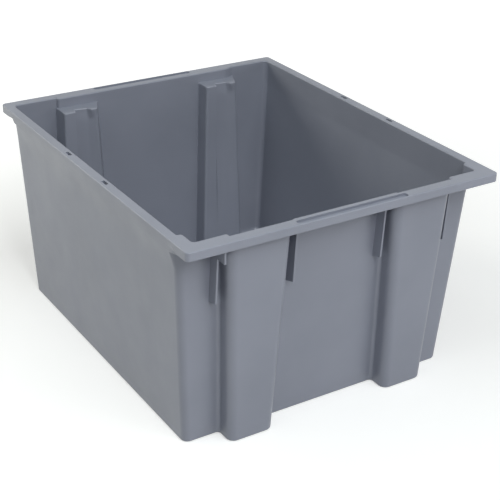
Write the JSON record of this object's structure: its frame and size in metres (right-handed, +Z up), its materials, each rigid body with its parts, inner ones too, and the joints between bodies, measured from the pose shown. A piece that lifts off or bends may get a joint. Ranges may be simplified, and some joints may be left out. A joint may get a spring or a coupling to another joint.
{
  "type": "stack-and-nest storage tote",
  "caption": "Open-topped grey plastic storage tote with drafted walls, front posts, back pillars and a lipped rim, made to stack or nest when turned end for end.",
  "frame": {"origin": "centre of the underside, on the surface that the tote stands on", "axes": "+Z up, -Y towards the front wall with the posts, +Y along the long side, +X to the right seen from the front"},
  "size_m": [0.495, 0.597, 0.325],
  "materials": {
    "grey_polyethylene": "satin moulded polyethylene"
  },
  "bodies": {
    "root": {"back_left_ledge": "grey_polyethylene", "back_left_lip_corner": "grey_polyethylene", "back_left_lip_return": "grey_polyethylene", "back_left_panel": "grey_polyethylene", "back_left_pillar_face": "grey_polyethylene", "back_left_pillar_inner_cheek": "grey_polyethylene", "back_left_pillar_outer_cheek": "grey_polyethylene", "back_lip": "grey_polyethylene", "back_middle_panel": "grey_polyethylene", "back_right_ledge": "grey_polyethylene", "back_right_lip_corner": "grey_polyethylene", "back_right_lip_return": "grey_polyethylene", "back_right_panel": "grey_polyethylene", "back_right_pillar_face": "grey_polyethylene", "back_right_pillar_inner_cheek": "grey_polyethylene", "back_right_pillar_outer_cheek": "grey_polyethylene", "back_rim_plate": "grey_polyethylene", "back_upper_wall": "grey_polyethylene", "floor_back_left_strip": "grey_polyethylene", "floor_back_middle_strip": "grey_polyethylene", "floor_back_right_strip": "grey_polyethylene", "floor_main_panel": "grey_polyethylene", "front_left_corner_web": "grey_polyethylene", "front_left_inner_gusset": "grey_polyethylene", "front_left_ledge": "grey_polyethylene", "front_left_lip_corner": "grey_polyethylene", "front_left_lip_return": "grey_polyethylene", "front_left_outer_gusset": "grey_polyethylene", "front_left_panel": "grey_polyethylene", "front_left_post_face": "grey_polyethylene", "front_left_post_foot": "grey_polyethylene", "front_left_post_inner_cheek": "grey_polyethylene", "front_left_post_outer_cheek": "grey_polyethylene", "front_left_riser": "grey_polyethylene", "front_lip": "grey_polyethylene", "front_lip_tooth": "grey_polyethylene", "front_middle_ledge": "grey_polyethylene", "front_middle_panel": "grey_polyethylene", "front_middle_riser": "grey_polyethylene", "front_right_corner_web": "grey_polyethylene", "front_right_inner_gusset": "grey_polyethylene", "front_right_ledge": "grey_polyethylene", "front_right_lip_corner": "grey_polyethylene", "front_right_lip_return": "grey_polyethylene", "front_right_outer_gusset": "grey_polyethylene", "front_right_panel": "grey_polyethylene", "front_right_post_face": "grey_polyethylene", "front_right_post_foot": "grey_polyethylene", "front_right_post_inner_cheek": "grey_polyethylene", "front_right_post_outer_cheek": "grey_polyethylene", "front_right_riser": "grey_polyethylene", "front_rim_plate": "grey_polyethylene", "left_rim_bead": "grey_polyethylene", "left_side_wall": "grey_polyethylene", "left_upper_wall": "grey_polyethylene", "right_rim_bead": "grey_polyethylene", "right_side_wall": "grey_polyethylene", "right_upper_wall": "grey_polyethylene"}
  },
  "joints": []
}
